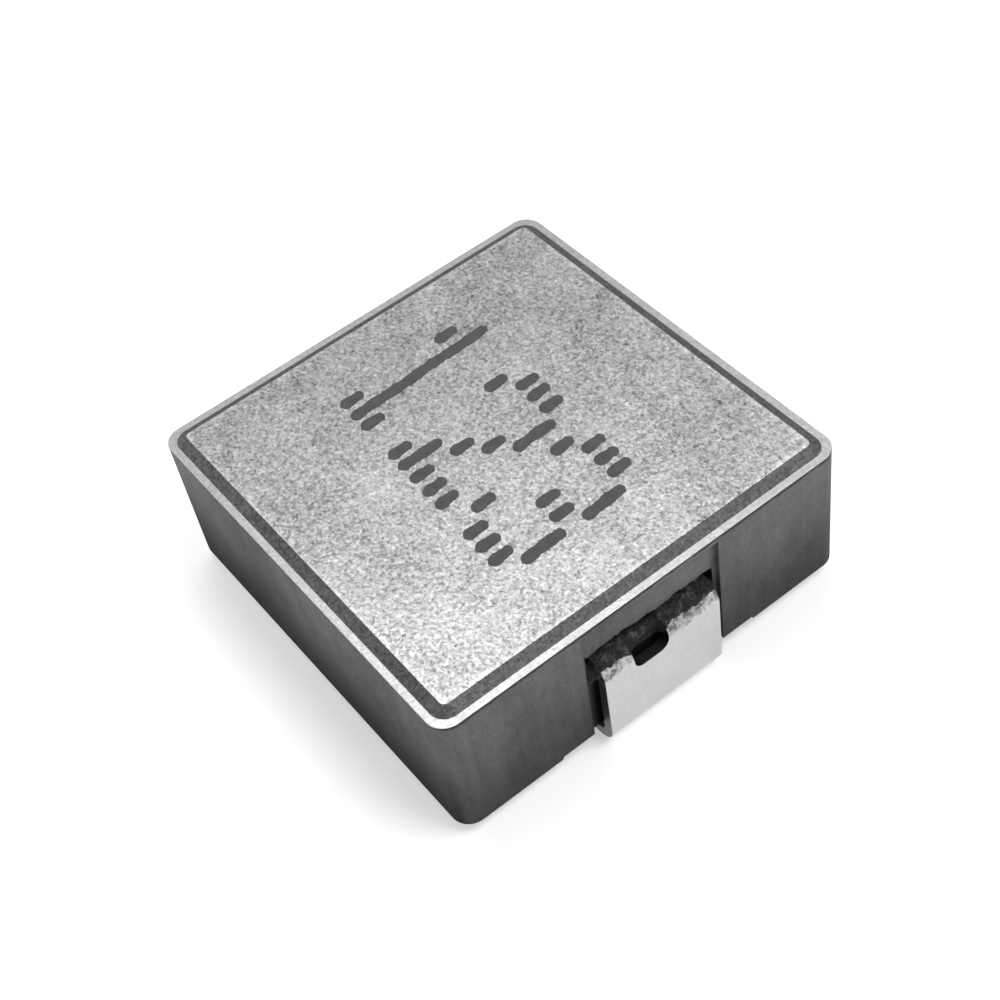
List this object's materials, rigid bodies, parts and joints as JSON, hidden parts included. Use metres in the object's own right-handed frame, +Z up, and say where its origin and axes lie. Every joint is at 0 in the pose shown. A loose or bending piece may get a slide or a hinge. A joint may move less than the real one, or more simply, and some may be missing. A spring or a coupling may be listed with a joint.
{
  "type": "shielded power inductor",
  "caption": "Square, low surface-mount power inductor: a pressed metal-powder core round a copper winding, with two flat tinned terminals folded down its ends and under its base.",
  "frame": {"origin": "centre of the rectangle that the part covers on the board, at the level of the solder pads' undersides", "axes": "+X from the middle towards one terminal, +Y across the width, +Z up from the board to the marked top face"},
  "size_m": [0.0134, 0.0126, 0.0049],
  "materials": {
    "pressed_powder": "pressed iron-alloy powder: dull grey sides, granular pale top",
    "copper_wire": "enamelled round copper wire",
    "tinned_copper": "matt tin over flat copper strip"
  },
  "bodies": {
    "root": {"core": "pressed_powder", "winding": "copper_wire", "terminal_a": "tinned_copper", "terminal_b": "tinned_copper"}
  },
  "joints": []
}
